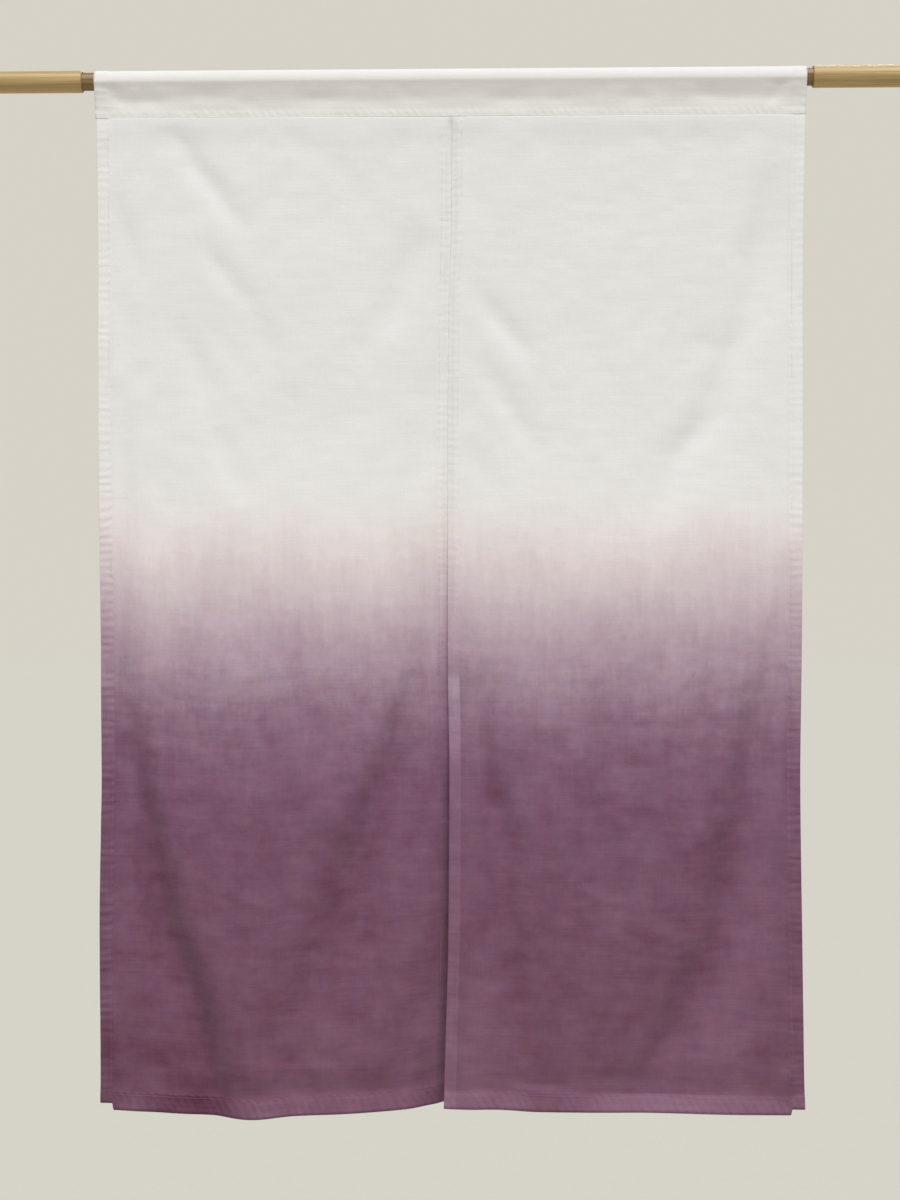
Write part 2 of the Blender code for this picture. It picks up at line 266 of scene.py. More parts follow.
# %% Creases in the panels
Crease = namedtuple("Crease", "x0 z0 x1 z1 depth width")
LEFT_CREASES = table(
    Crease,
    (-352, -40, -300, -140, 2.1, 15),
    (-325, -90, -250, -195, 2.8, 15),
    (-310, -195, -250, -285, 2.1, 14),
    (-268, -240, -205, -370, 1.4, 17),
    (-335, -290, -292, -430, 1.8, 17),
    (-305, -400, -250, -530, 1.8, 17),
    (-415, -135, -385, -260, 1.8, 12),
    (-425, -345, -395, -600, 2.1, 15),
    (-30, -180, -85, -320, 2.3, 20),
    (-60, -260, -135, -380, 1.8, 24),
    (-12, -300, -40, -520, 2.3, 17),
    (-305, -995, -220, -1032, -1.4, 7),
    (-225, -1020, -140, -1040, 1.4, 10),
    (-175, -930, -100, -1010, 3.4, 27),
)
RIGHT_CREASES = table(
    Crease,
    (25, -255, 105, -350, 2.3, 15),
    (30, -340, 115, -470, 2.5, 17),
    (20, -440, 80, -560, 1.4, 17),
    (345, -400, 260, -480, 1.8, 15),
    (285, -450, 262, -560, 1.4, 20),
    (290, -322, 350, -342, 1.4, 17),
    (350, -335, 340, -395, -0.9, 5),
    (425, -70, 405, -250, 1.4, 10),
    (145, -990, 190, -1020, -1.6, 7),
    (170, -1014, 255, -1026, -1.6, 7),
    (265, -770, 310, -722, -1.6, 7),
    (235, -790, 262, -710, 1.6, 10),
)
print(len(LEFT_CREASES) + len(RIGHT_CREASES), "creases")

# %% [markdown]
# A few helpers read those rows. A curve passes smoothly through its rows without
# overshooting them, a fade goes from 0 to 1 without a corner, a bell falls off to both
# sides, and soft noise gives the small unevenness that no table should list. They take
# whole arrays of places at once, which is quick.


# %% Helpers for soft shapes
def fade(value, start, end):
    """Goes smoothly from 0 at start to 1 at end."""
    share = np.clip((value - start) / (end - start), 0.0, 1.0)
    return share * share * (3 - 2 * share)


def bell(offset):
    """Falls smoothly from 1 at an offset of 0 towards 0 on both sides."""
    return np.exp(-(offset**2))


def slope_at(keys, values, i):
    """The slope of a smooth curve at one of its rows, level wherever the rows turn back."""
    if i in (0, len(keys) - 1):
        return 0.0
    before = (values[i] - values[i - 1]) / (keys[i] - keys[i - 1])
    after = (values[i + 1] - values[i]) / (keys[i + 1] - keys[i])
    return 2 * before * after / (before + after) if before * after > 0 else 0.0


def read_curve(rows, column, at):
    """Reads a column on a smooth curve through rows whose first column is the position."""
    rows = sorted(rows)
    keys = np.array([row[0] for row in rows])
    values = np.array([getattr(row, column) for row in rows])
    slopes = np.array([slope_at(keys, values, i) for i in range(len(rows))])
    at = np.clip(at, keys[0], keys[-1])
    i = np.clip(np.searchsorted(keys, at, side="right") - 1, 0, len(keys) - 2)
    step = keys[i + 1] - keys[i]
    share = (at - keys[i]) / step
    bend = share * (1 - share) * step
    rise = values[i + 1] - values[i]
    eased = values[i] + rise * share * share * (3 - 2 * share)
    return eased + bend * ((1 - share) * slopes[i] - share * slopes[i + 1])


def soft_noise(across, down, cell_across, cell_down, seed):
    """Smooth random values from -1 to 1, one for each cell's corner and faded in between."""
    i, j = across / cell_across, down / cell_down
    low_i, low_j = int(np.floor(i.min())), int(np.floor(j.min()))
    size = (ceil(i.max()) - low_i + 2, ceil(j.max()) - low_j + 2)
    corners = np.random.default_rng(seed).uniform(-1, 1, size)
    cell_i, cell_j = np.floor(i).astype(int) - low_i, np.floor(j).astype(int) - low_j
    share_i, share_j = fade(i - np.floor(i), 0, 1), fade(j - np.floor(j), 0, 1)
    near = corners[cell_i, cell_j] * (1 - share_i) + corners[cell_i + 1, cell_j] * share_i
    far = corners[cell_i, cell_j + 1] * (1 - share_i) + corners[cell_i + 1, cell_j + 1] * share_i
    return near * (1 - share_j) + far * share_j


def trough(fold, x, z):
    """How far one long fold pushes the cloth back."""
    depth = read_curve(fold, "depth", z)
    offset = x - read_curve(fold, "x", z)
    width = np.where(offset < 0, read_curve(fold, "left", z), read_curve(fold, "right", z))
    inside = (z >= min(row.z for row in fold)) & (z <= max(row.z for row in fold))
    return depth * bell(offset / width) * inside


def crease_push(crease, x, z):
    """How far one short crease pushes the cloth back, less towards both of its ends."""
    run_x, run_z = crease.x1 - crease.x0, crease.z1 - crease.z0
    length = hypot(run_x, run_z)
    along = ((x - crease.x0) * run_x + (z - crease.z0) * run_z) / length**2
    aside = ((x - crease.x0) * run_z - (z - crease.z0) * run_x) / length
    ends = np.sin(pi * np.clip(along, 0.0, 1.0))
    return crease.depth * ends * bell(aside / crease.width)


# %% [markdown]
# A hem is the cloth turned over twice and sewn down, so it is thicker than the field, its
# outer edge is a rounded fold, and the thread presses a groove along the stitch line. The
# slit's two edges curl back. One function gives any point of a panel from where it is on
# the flat cloth. The mesh and the stitches both use it, so they always fit. The finer
# puckers beside the thread are painted later as bumps.

# %% Where a point of a panel hangs
HEM_STEP = 0.0012  # how far the hem's inner edge takes to fall to the field
STITCH_INSET = 0.0022  # from the hem's inner edge to its stitch line
EDGE_HALF = 0.00025  # half the thickness left at a rounded edge, before it closes
GROOVE_DEPTH = 0.00030
GROOVE_WIDTH = 0.0012
HEM_BLEND = 0.0004  # how far inside a hem its dye and puckers are at full strength
RIM_CURL, RIM_RUN = 0.0016, 0.0034  # how far the bottom edge itself turns back, and from where
LIP_MEETS = 0.00118  # how far the cloth comes forward below the heading, to meet its edge
LIP_FULL = HEADING_EDGE - 0.00015
LIP_ENDS, LIP_FADES = -0.085, -0.050
CORNER_RUN = 0.050  # how far above the bottom edge a corner's step begins
CORNER_BLEND = 0.001

# How far the slit's two edges curl back, and over what width, down the cloth
Roll = namedtuple("Roll", "z left left_width right right_width")
ROLLS = table(
    Roll,
    (-50, 2.4, 6, 2, 5.8),
    (-110, 4.6, 6.8, 4, 6.4),
    (-190, 5.6, 7, 4.6, 6.6),
    (-260, 5.8, 7.2, 4.6, 6.6),
    (-620, 4.8, 6.6, 4, 6.4),
    (-760, 4, 6.4, 1.6, 4),
    (-900, 7, 8.5, 1.2, 3.6),
    (-1050, 8.8, 9.8, 1.4, 3.6),
    (-1290, 8.8, 10, 1.6, 4),
)
Panel = namedtuple(
    "Panel", "side left_hem right_hem left_step right_step hang folds creases seed shift"
)
LEFT_PANEL = Panel(
    "left", SIDE_HEM, SLIT_HEM, LEFT_CORNER_STEP, 0.0, LEFT_HANG, LEFT_FOLDS, LEFT_CREASES, 11, 0.0
)
RIGHT_PANEL = Panel(
    "right", SLIT_HEM, SIDE_HEM, 0.0, RIGHT_CORNER_STEP, RIGHT_HANG, RIGHT_FOLDS, RIGHT_CREASES,
    23, 0.6,
)

# Fine unevenness of washed cloth: a broad swell, creases along both slants and short ripples
Wrinkle = namedtuple("Wrinkle", "height level slant across down")
WRINKLES = [
    Wrinkle(0.00110, 1.0, 0.0, 0.080, 0.100),
    Wrinkle(0.00030, 0.8, 0.6, 0.022, 0.060),
    Wrinkle(0.00030, 0.8, -0.6, 0.022, 0.060),
    Wrinkle(0.00014, 1.0, 0.0, 0.022, 0.010),
    Wrinkle(0.00005, 1.0, 0.0, 0.009, 0.007),
]


def panel_width(panel):
    return getattr(EDGES[0], panel.side + "_end") - getattr(EDGES[0], panel.side + "_start")


def from_edges(panel, across, down):
    """How far a point lies from a panel's left, right and bottom edges."""
    return across, panel_width(panel) - across, PANEL_HEIGHT - down


def hang_at(hang, share, z):
    """How far behind the rod's axis the cloth hangs, before its folds."""
    upper, middle, lower = (read_curve(hang, column, share) for column in Hang._fields[1:])
    y = upper * fade(z, FOLDS_START, UPPER_Z) + (middle - upper) * fade(z, UPPER_Z, MIDDLE_Z)
    return y + (lower - middle) * fade(z, MIDDLE_Z, LOWER_Z)


def stitch_groove(inward, hem):
    """The shallow groove along a hem's thread. inward is the distance from the edge."""
    return GROOVE_DEPTH * bell((inward - (hem - STITCH_INSET)) / GROOVE_WIDTH)


def wrinkles(across, down, seed):
    height = 0.0
    for k, w in enumerate(WRINKLES):
        turned = across * w.level + down * w.slant, down * w.level - across * w.slant
        height = height + w.height * soft_noise(*turned, w.across, w.down, seed + k)
    return height


def cloth_at(panel, across, down, side):
    """Places of a panel's cloth. side is -1 on the front, 1 on the back and 0 in the middle."""
    across, down = np.broadcast_arrays(across, down)
    share = across / panel_width(panel)
    from_left, from_right, from_bottom = from_edges(panel, across, down)
    hems = (from_left, panel.left_hem), (from_right, panel.right_hem), (from_bottom, BOTTOM_HEM)

    # Where the flat cloth's point lies as seen from the front
    bottom = read_curve(HEMLINES, panel.side, share)
    near_bottom = fade(down, PANEL_HEIGHT - CORNER_RUN, PANEL_HEIGHT)
    left_corner, right_corner = (
        fade(inward, hem + CORNER_BLEND, hem - CORNER_BLEND) for inward, hem in hems[:2]
    )
    z = PANEL_TOP + (bottom - PANEL_TOP) * down / PANEL_HEIGHT
    z += near_bottom * (panel.left_step * left_corner + panel.right_step * right_corner)
    left_x = read_curve(EDGES, panel.side + "_start", z)
    x = left_x + (read_curve(EDGES, panel.side + "_end", z) - left_x) * share

    # How far back it hangs, with its folds and creases
    y = hang_at(panel.hang, share, z)
    y += sum(trough(fold, x, z) for fold in panel.folds) * fade(z, FOLDS_START, FOLDS_FULL)
    creased = fade(z, HEADING_EDGE, CREASES_FULL)
    y += sum(crease_push(crease, x, z) for crease in panel.creases) * creased
    y += wrinkles(across, down, panel.seed) * fade(z, FOLDS_START, CREASES_FULL)

    # Stitch grooves, the lip below the heading, and the curled edges
    sewn = fade(z, HEMS_START, HEMS_FULL)
    relief = sum(stitch_groove(*hem) for hem in hems) * sewn
    relief -= LIP_MEETS * fade(z, HEADING_EDGE, LIP_FULL) * fade(z, LIP_ENDS, LIP_FADES)
    from_slit = from_left if panel.side == "right" else from_right
    curl = bell(from_slit / read_curve(ROLLS, panel.side + "_width", z))
    relief += read_curve(ROLLS, panel.side, z) * curl * fade(z, HEADING_EDGE, CURL_FULL)
    foot = bell((from_bottom - FOOT_HEIGHT) / FOOT_REACH)
    foot -= FOOT_BACK * fade(from_bottom, FOOT_RUN, 0.0)
    relief += read_curve(FEET, panel.side, share) * foot
    relief += RIM_CURL * fade(from_bottom, RIM_RUN, 0.0)

    # Thicker hems, and edges that round off and close
    in_hem = np.maximum.reduce([fade(inward, hem + HEM_STEP, hem) for inward, hem in hems])
    half = (CLOTH_THICKNESS + (HEM_THICKNESS - CLOTH_THICKNESS) * in_hem * sewn) / 2
    rim = np.minimum.reduce([from_left, from_right, from_bottom])
    inward = np.clip(1 - rim / half, 0.0, 1.0)
    rounded = np.maximum(half * np.sqrt(1 - inward**2), EDGE_HALF)
    return np.stack([x, y + relief + side * rounded, z], axis=-1)


print("left panel", round(panel_width(LEFT_PANEL), 4), "m wide at its top")

# %% [markdown]
# A panel's mesh is two grids of points, front and back, closed along their four edges. A
# Solidify modifier could thicken one grid, but not the hems more than the field. The
# grid's lines crowd together at the hems, where the shape changes within a millimetre,
# and stay wider apart in the field. A UV map keeps where each corner is on the flat
# cloth, in metres. The weave and the dye are painted in it, so they bend with the cloth.

# %% Mesh for a closed sheet
CLOTH_MAP = "flat_cloth"


def closed_sheet(name, front, back, flat, shares):
    """A closed mesh from two grids, rows down and columns to the right."""
    rows, columns = front.shape[:2]
    near = np.arange(rows * columns).reshape(rows, columns)
    far = near + rows * columns
    a, b, c, d = near[:-1, :-1], near[1:, :-1], near[1:, 1:], near[:-1, 1:]
    rings = [
        (near[:, 0], far[:, 0]),
        (near[-1, :], far[-1, :]),
        (near[::-1, -1], far[::-1, -1]),
        (near[0, ::-1], far[0, ::-1]),
    ]
    faces = [np.stack([a, b, c, d], axis=-1).reshape(-1, 4)]
    faces.append(np.stack([a, d, c, b], axis=-1).reshape(-1, 4) + rows * columns)
    for inner, outer in rings:
        faces.append(np.stack([inner[:-1], outer[:-1], outer[1:], inner[1:]], axis=-1))
    faces = np.concatenate(faces)
    points = np.concatenate([front.reshape(-1, 3), back.reshape(-1, 3)])
    places = np.concatenate([flat.reshape(-1, 2)] * 2)

    mesh = bpy.data.meshes.new(name)
    mesh.from_pydata(points.tolist(), [], faces.tolist())
    cloth_map = mesh.uv_layers.new(name=CLOTH_MAP)
    corners = np.empty(len(mesh.loops), dtype=np.int32)
    mesh.loops.foreach_get("vertex_index", corners)
    cloth_map.data.foreach_set("uv", places[corners].astype(np.float32).ravel())
    for share_name, values in shares.items():
        share = mesh.attributes.new(share_name, "FLOAT", "POINT")
        share.data.foreach_set("value", np.tile(values.ravel(), 2).astype(np.float32))
    mesh.shade_smooth()
    print(name, 2 * len(faces), "triangles")
    return put_in_scene(name, mesh)


# %% [markdown]
# The dye isn't even. It climbed higher beside the hems and took less in some places than
# in others. Painted shade darkens the long folds, painted light and shade lie along the
# bottom hem, and soft patches, partly uneven dye and partly painted light and shade, are
# listed too. Each point of the mesh keeps four shares for the finishes: how far it lies
# inside a side hem or the bottom hem, how much higher its dye climbed, and how much paler
# or darker it is painted, from uneven dye and from painted light and shade.


# %% The two panels
EDGE_LINES = [0.0, 0.00012, 0.0004, 0.001]
TOP_LINES = [0.0, 0.0040, 0.0080, 0.0100, 0.01015, 0.0109, 0.0120, 0.0140]
HEM_SPACING = 0.0016
HEM_END, HEM_END_SPACING = 0.0034, 0.0009  # closer lines over the hem's inner edge
FIELD_SPACING = 0.0044
FIELD_TOP = 0.0170
ROW_SPACING = 0.0036
EDGE_CLIMB, EDGE_REACH = 0.014, 0.028  # the dye climbed a little higher beside each hem
WAVE_CLIMB, WAVE_WIDTH = 0.010, 0.070
DYE_SEED = 40
FOLD_SHADE = 42.0  # painted shade: how much darker a fold is painted, for each metre of the fold's depth
FOLD_SHADE_START, FOLD_SHADE_FULL = -0.600, -0.750
SLIT_PUCKERS = 0.35  # how strong the slit hems' puckers are, beside the outer hems'
RIGHT_PUCKERS, LEFT_FOOT_PUCKERS = 0.65, 1.7
FLAP_PALER = 1.2  # the right panel's slit hem is palest just below the dye's front
LEFT_FLAP_PALER = 0.5
FLAP_ENDS = 0.790, 0.850

# Soft patches painted paler, or darker where the last value is negative: partly uneven dye,
# partly painted light and shade over the folds
Patch = namedtuple("Patch", "x z half_width half_height paler")
DYE_AND_SHADING_PATCHES = table(
    Patch,
    (-250, -740, 60, 50, 600),
    (-171, -849, 55, 50, 900),
    (-406, -1016, 16, 70, 800),
    (-250, -967, 30, 25, -500),
    (-149, -1010, 30, 50, -500),
    (-62, -979, 25, 40, 500),
    (-149, -1196, 35, 30, 700),
    (-25, -1190, 20, 30, 600),
    (35, -785, 22, 30, 900),
    (136, -787, 60, 30, 600),
    (108, -895, 30, 35, 700),
    (30, -1180, 35, 75, 1200),
    (208, -1029, 40, 30, 900),
    (297, -880, 30, 30, 600),
    (318, -967, 20, 28, -400),
    (398, -886, 18, 30, 1200),
    (386, -1016, 30, 120, 1100),
    (334, -1190, 45, 50, 1100),
    (275, -1221, 40, 25, 900),
    (-360, -985, 22, 50, -400),
    (-384, -843, 14, 22, -600),
    (-370, -1215, 40, 26, -800),
    (-290, -1245, 45, 22, -700),
    (-428, -1205, 14, 35, -800),
    (-408, -1140, 16, 22, 500),
    (-200, -705, 30, 30, -300),
    (-37, -832, 24, 48, 800),
    (32, -850, 18, 70, 900),
    (245, -955, 32, 26, 400),
    (409, -862, 16, 36, 500),
    (350, -1130, 34, 60, 400),
    (200, -1251, 150, 10, 900),
    (40, -1240, 36, 20, 900),
    (-190, -1251, 50, 10, 600),
    (409, -810, 14, 34, 500),
    (-406, -874, 14, 38, 1200),
    (-350, -1162, 22, 44, 900),
    (-428, -1215, 12, 32, -700),
    (30, -966, 14, 28, 700),
    (352, -1045, 24, 36, 500),
    (150, -1035, 34, 50, -350),
)

# Where the dye's front stands higher, or lower where the climb is negative
FrontBend = namedtuple("FrontBend", "x half_width climb")
FRONT_BENDS = table(
    FrontBend,
    (-87, 40, -22),
    (-186, 20, 10),
    (-272, 50, -8),
    (-400, 20, 5),
    (315, 40, -5),
)

# Painted light and shade along the bottom hem, standing in for the light it catches where it
# faces up. Each value is how much paler it is painted, as above
FootLight = namedtuple("FootLight", "share left right")
FOOT_PAINTED_LIGHT = table(
    FootLight,
    (0, -400, 2300),
    (100, 400, 2200),
    (200, -1000, 1400),
    (300, -1000, 300),
    (450, 1000, 2400),
    (600, 800, 3200),
    (750, 700, 2900),
    (900, 500, 1800),
    (1000, -600, 1600),
)


def even_steps(start, end, spacing):
    return np.linspace(start, end, max(2, round((end - start) / spacing) + 1))


def hem_lines(hem):
    """Distances from an edge to each grid line over one hem and its inner step."""
    near = even_steps(0.002, hem - 0.004, HEM_SPACING)
    end = even_steps(hem - HEM_END, hem + HEM_STEP, HEM_END_SPACING)
    return np.concatenate([EDGE_LINES, near, end])


def hem_share(inward, hem):
    """1 over a hem and 0 past its inner edge."""
    return fade(inward, hem + HEM_STEP, hem - HEM_BLEND)


def panel_shares(panel, across, down):
    """Where a panel is hemmed, how much higher its dye climbed, and how much paler or darker
    it is painted, from uneven dye and from painted light and shade.
    """
    from_left, from_right, from_bottom = from_edges(panel, across, down)
    right_panel = panel.side == "right"
    left_hem = hem_share(from_left, panel.left_hem)
    right_hem = hem_share(from_right, panel.right_hem)
    foot_hem = hem_share(from_bottom, BOTTOM_HEM)
    outer, slit = (right_hem, left_hem) if right_panel else (left_hem, right_hem)

    # A side hem puckers more the lower it is, and less in the right panel
    strength = 0.5 + 0.5 * fade(down, 0.350, 0.600) + 0.7 * fade(down, 0.650, 0.850)
    side_hem = outer * strength * (RIGHT_PUCKERS if right_panel else 1.0) + SLIT_PUCKERS * slit
    side_hem = side_hem * (1 - foot_hem) * fade(down, 0.010, 0.016)
    puckered = foot_hem * (1.0 if right_panel else LEFT_FOOT_PUCKERS)

    x = across + getattr(EDGES[0], panel.side + "_start")
    z = PANEL_TOP - down
    climbed = EDGE_CLIMB * (bell(from_left / EDGE_REACH) + bell(from_right / EDGE_REACH))
    climbed += WAVE_CLIMB * soft_noise(across, down * 0, WAVE_WIDTH, 1.0, panel.seed + DYE_SEED)
    climbed += sum(bend.climb * bell((x - bend.x) / bend.half_width) for bend in FRONT_BENDS)

    if right_panel:
        paler = fade(down, 0.700, 0.718)
        paler += FLAP_PALER * (fade(down, 0.702, 0.720) - fade(down, *FLAP_ENDS))
    else:
        paler = LEFT_FLAP_PALER * (fade(down, 0.690, 0.720) - fade(down, *FLAP_ENDS))
    # Painted shade: the deeper the long folds push the cloth back, the darker it is painted there
    deep = sum(trough(fold, x, z) for fold in panel.folds)
    paler = left_hem * paler - FOLD_SHADE * deep * fade(z, FOLD_SHADE_START, FOLD_SHADE_FULL)
    # Painted light and shade along the bottom hem
    paler += foot_hem * read_curve(FOOT_PAINTED_LIGHT, panel.side, across / panel_width(panel))
    # Patches of uneven dye and of painted light and shade
    for patch in DYE_AND_SHADING_PATCHES:
        inside = bell((x - patch.x) / patch.half_width) * bell((z - patch.z) / patch.half_height)
        paler += patch.paler * inside
    return {"side_hem": side_hem, "foot_hem": puckered, "climbed": climbed, "paler": paler}


def make_panel(panel):
    left = hem_lines(panel.left_hem)
    right = panel_width(panel) - hem_lines(panel.right_hem)[::-1]
    field = even_steps(left[-1], right[0], FIELD_SPACING)[1:-1]
    across = np.concatenate([left, field, right])
    foot = PANEL_HEIGHT - hem_lines(BOTTOM_HEM)[::-1]
    down = np.concatenate([TOP_LINES, even_steps(FIELD_TOP, foot[0], ROW_SPACING)[:-1], foot])
    across, down = np.meshgrid(across, down)
    front = cloth_at(panel, across, down, -1)
    back = cloth_at(panel, across, down, 1)
    flat = np.stack([across + panel.shift, down], axis=-1)  # the shift keeps the weaves unlike
    shares = panel_shares(panel, across, down)
    return closed_sheet("cloth_" + panel.side, front, back, flat, shares)


left_cloth = make_panel(LEFT_PANEL)
right_cloth = make_panel(RIGHT_PANEL)

# %% [markdown]
# The heading is one strip of the same cloth, laid over the rod and sewn through both
# panels below it. Seen from its end it is an upside-down U that closes on the panels. It
# isn't tight, so it dents between the rod and the seam, which pulls small puckers into
# it. The dents are listed one by one.

# %% The heading strip
Dent = namedtuple("Dent", "x z half_width half_height depth")
DENTS = table(
    Dent,
    (-377, -26, 34, 10, 1.5),
    (-300, -19, 32, 9, 1),
    (-252, -29, 11, 7, 0.6),
    (-158, -25, 36, 10, 1.2),
    (-94, -28, 22, 9, 0.7),
    (-43, -23, 19, 9, 0.8),
    (75, -25, 26, 10, 1.3),
    (132, -26, 24, 8, 0.8),
    (230, -25, 16, 9, 0.9),
    (315, -20, 16, 9, 0.9),
    (355, -24, 50, 11, 1.3),
    (0, -22, 2000, 10, 0.2),
)
END_CREASES = table(
    Crease,
    (-436, 10, -400, -38, 1.6, 9),
    (416, 8, 390, -40, 1.8, 9),
)
ARC_STEPS = 44
FLANK_STEPS = 18
FLANK_HOLLOW = 0.55  # how much the strip curves in below the rod, where 0 would be straight
HEADING_SPACING = 0.0030
SEAM_HEIGHT = HEADING_EDGE + 0.0030
LIP_STEPS = [0.0, 0.0002, 0.0006, 0.0012, 0.0015, 0.0030, 0.0045, 0.0065]  # above its edge
ROD_CLEARANCE = 0.00042
HEADING_SEED = 41
LIP_TAPER = 0.0004  # how much thinner the strip's lower edge is, where it is pressed flat
END_HEM = 0.0004  # how much the strip's hemmed ends stand out
SEAM_GROOVE, SEAM_WIDTH = 0.0003, 0.0013
SWELL, LEAST_SWELL = 0.0005, -0.0001
STRIP_SHIFT = 1.3  # keeps the strip's weave unlike the panels'
FLANK_PAINTED_LIGHT, TOP_PAINTED_SHADE = 0.75, 0.7  # painted light on the strip's flank below the rod, and painted shade on its top


def heading_path():
    """The middle of the strip seen from its end, from the back edge over the rod to the front."""
    gap = CLOTH_THICKNESS + CLEARANCE
    over = CORE_RADIUS + ROD_CLEARANCE + CLOTH_THICKNESS / 2
    leaves = atan2(HEADING_CLOSES, -gap) - acos(over / hypot(gap, HEADING_CLOSES))
    leave_y, leave_z = over * cos(leaves), over * sin(leaves)
    shares = np.linspace(0, 1, FLANK_STEPS, endpoint=False)
    flank_y = -gap + (leave_y + gap) * (shares - FLANK_HOLLOW * shares * (1 - shares))
    flank_z = HEADING_CLOSES + (leave_z - HEADING_CLOSES) * shares
    lip = [(-gap, HEADING_EDGE + step) for step in LIP_STEPS]
    front = np.concatenate([lip, np.stack([flank_y, flank_z], axis=-1)])
    turn = pi + 2 * (pi + leaves)
    angles = leaves - turn * np.linspace(0, 1, ARC_STEPS + 1)
    top = np.stack([over * np.cos(angles), over * np.sin(angles)], axis=-1)
    return np.concatenate([front, top, front[::-1] * [-1, 1]])[::-1]


def make_heading():
    path = heading_path()
    run = np.concatenate([[0.0], np.cumsum(np.hypot(*np.diff(path, axis=0).T))])
    along = even_steps(HEADING_LEFT, HEADING_RIGHT, HEADING_SPACING)
    x, y = np.meshgrid(along, path[:, 0])
    z, down = (np.meshgrid(along, column)[1] for column in (path[:, 1], run))
    push = sum(
        dent.depth * bell((x - dent.x) / dent.half_width) * bell((z - dent.z) / dent.half_height)
        for dent in DENTS
    )
    push += sum(crease_push(crease, x, z) for crease in END_CREASES)
    push *= fade(y, 0.0, -0.004) * fade(z, -0.003, -0.010) * fade(z, -0.0385, -0.033)
    y = y + push
    way_y, way_z = np.gradient(y, axis=0), np.gradient(z, axis=0)
    size = np.hypot(way_y, way_z)
    out_y, out_z = way_z / size, -way_y / size
    loose = fade(np.hypot(y, z), CORE_RADIUS + 0.001, CORE_RADIUS + 0.004)
    loose = loose * fade(z, HEADING_EDGE, -0.036)
    swell = SWELL * soft_noise(x - HEADING_LEFT, down, 0.016, 0.030, HEADING_SEED) * loose
    swell = np.maximum(swell, LEAST_SWELL)
    end_hem = hem_share(np.minimum(x - HEADING_LEFT, HEADING_RIGHT - x), SIDE_HEM)
    half = CLOTH_THICKNESS / 2
    worn = half - LIP_TAPER * fade(z, HEADING_EDGE + 0.003, HEADING_EDGE)
    worn = worn - SEAM_GROOVE * bell((z - SEAM_HEIGHT) / SEAM_WIDTH) + END_HEM * end_hem
    outer, inner = (
        np.stack([x, y + out_y * (swell + out), z + out_z * (swell + out)], axis=-1)
        for out in (worn, -half)
    )
    flat = np.stack([x - HEADING_LEFT + STRIP_SHIFT, down], axis=-1)
    # Painted light on the flank below the rod, which faces down, and painted shade on the lit top
    flank_light = FLANK_PAINTED_LIGHT * fade(z, 0.004, -0.008) * fade(z, -0.034, -0.012)
    shares = {
        "side_hem": 0.5 * end_hem,
        "foot_hem": 0.5 * bell((z - SEAM_HEIGHT) / 0.006),
        "climbed": np.zeros_like(x),
        "paler": flank_light - TOP_PAINTED_SHADE * fade(z, -0.004, 0.008),
    }
    seam_rows = np.flatnonzero(np.isclose(path[:, 1], SEAM_HEIGHT))
    return closed_sheet("cloth_heading", outer, inner, flat, shares), outer[seam_rows]


heading_cloth, seam_lines = make_heading()

# %% [markdown]
# A material is a small tree of nodes. These helpers add a node, set it, join its inputs
# to numbers or to earlier outputs, and do sums, so that each finish reads from the top
# down.


# %% Helpers for materials
def feed(tree, node, feeds):
    """Gives each named input its value, or joins it to an earlier node's output."""
    for key, value in feeds.items():
        if isinstance(value, bpy.types.NodeSocket):
            tree.links.new(value, node.inputs[key])
        else:
            node.inputs[key].default_value = value


def add_node(tree, kind, feeds=None, **settings):
    node = tree.nodes.new(kind)
    for key, value in settings.items():
        setattr(node, key, value)
    feed(tree, node, feeds or {})
    return node


def output(tree, kind, feeds=None, **settings):
    """The first output of a new node."""
    return add_node(tree, kind, feeds, **settings).outputs[0]


def maths(tree, operation, first, second=0.0):
    return output(tree, "ShaderNodeMath", {0: first, 1: second}, operation=operation)


def total(tree, *values):
    return reduce(lambda one, other: maths(tree, "ADD", one, other), values)


def product(tree, *values):
    return reduce(lambda one, other: maths(tree, "MULTIPLY", one, other), values)


def map_range(tree, value, start, end, low=0.0, **settings):
    """Moves a value from a range to the one from low to 1."""
    feeds = {"Value": value, "From Min": start, "From Max": end, "To Min": low}
    return output(tree, "ShaderNodeMapRange", feeds, **settings)


def bump(tree, strength, distance, height, **more):
    feeds = {"Strength": strength, "Distance": distance, "Height": height, **more}
    return output(tree, "ShaderNodeBump", feeds)


def new_finish(name):
    """A new material and its tree of nodes."""
    material = bpy.data.materials.new(name)
    material.use_nodes = True
    return material, material.node_tree


def feed_shader(tree, feeds):
    feed(tree, tree.nodes["Principled BSDF"], feeds)


def stretched_noise(tree, place, scale, detail=2.0, roughness=0.5):
    """Noise whose grains have their own size along each axis. Returns values around 0.5."""
    sized = add_node(tree, "ShaderNodeMapping", {"Vector": place, "Scale": scale})
    feeds = {"Vector": sized.outputs[0], "Scale": 1.0, "Detail": detail, "Roughness": roughness}
    return add_node(tree, "ShaderNodeTexNoise", feeds).outputs["Fac"]


def linear(red, green, blue):
    """A colour as seen on a screen, 0 to 255, as the light values that shaders use."""
    shares = [value / 255 for value in (red, green, blue)]
    return [s / 12.92 if s <= 0.04045 else ((s + 0.055) / 1.055) ** 2.4 for s in shares] + [1.0]


# %% [markdown]
# The dye was drawn up into the cloth from below, so its front is soft and wavy, with
# streaks where it climbed along single threads. The colours are a ramp down the cloth.
# Noise shifts where each point reads the ramp: broad noise for the waves, tall narrow
# noise for the streaks and fine noise for the mottle. Ripples and clouds then make the
# dyed part deeper and paler. The same colours serve the panels and the thread, which was
# dyed with them.

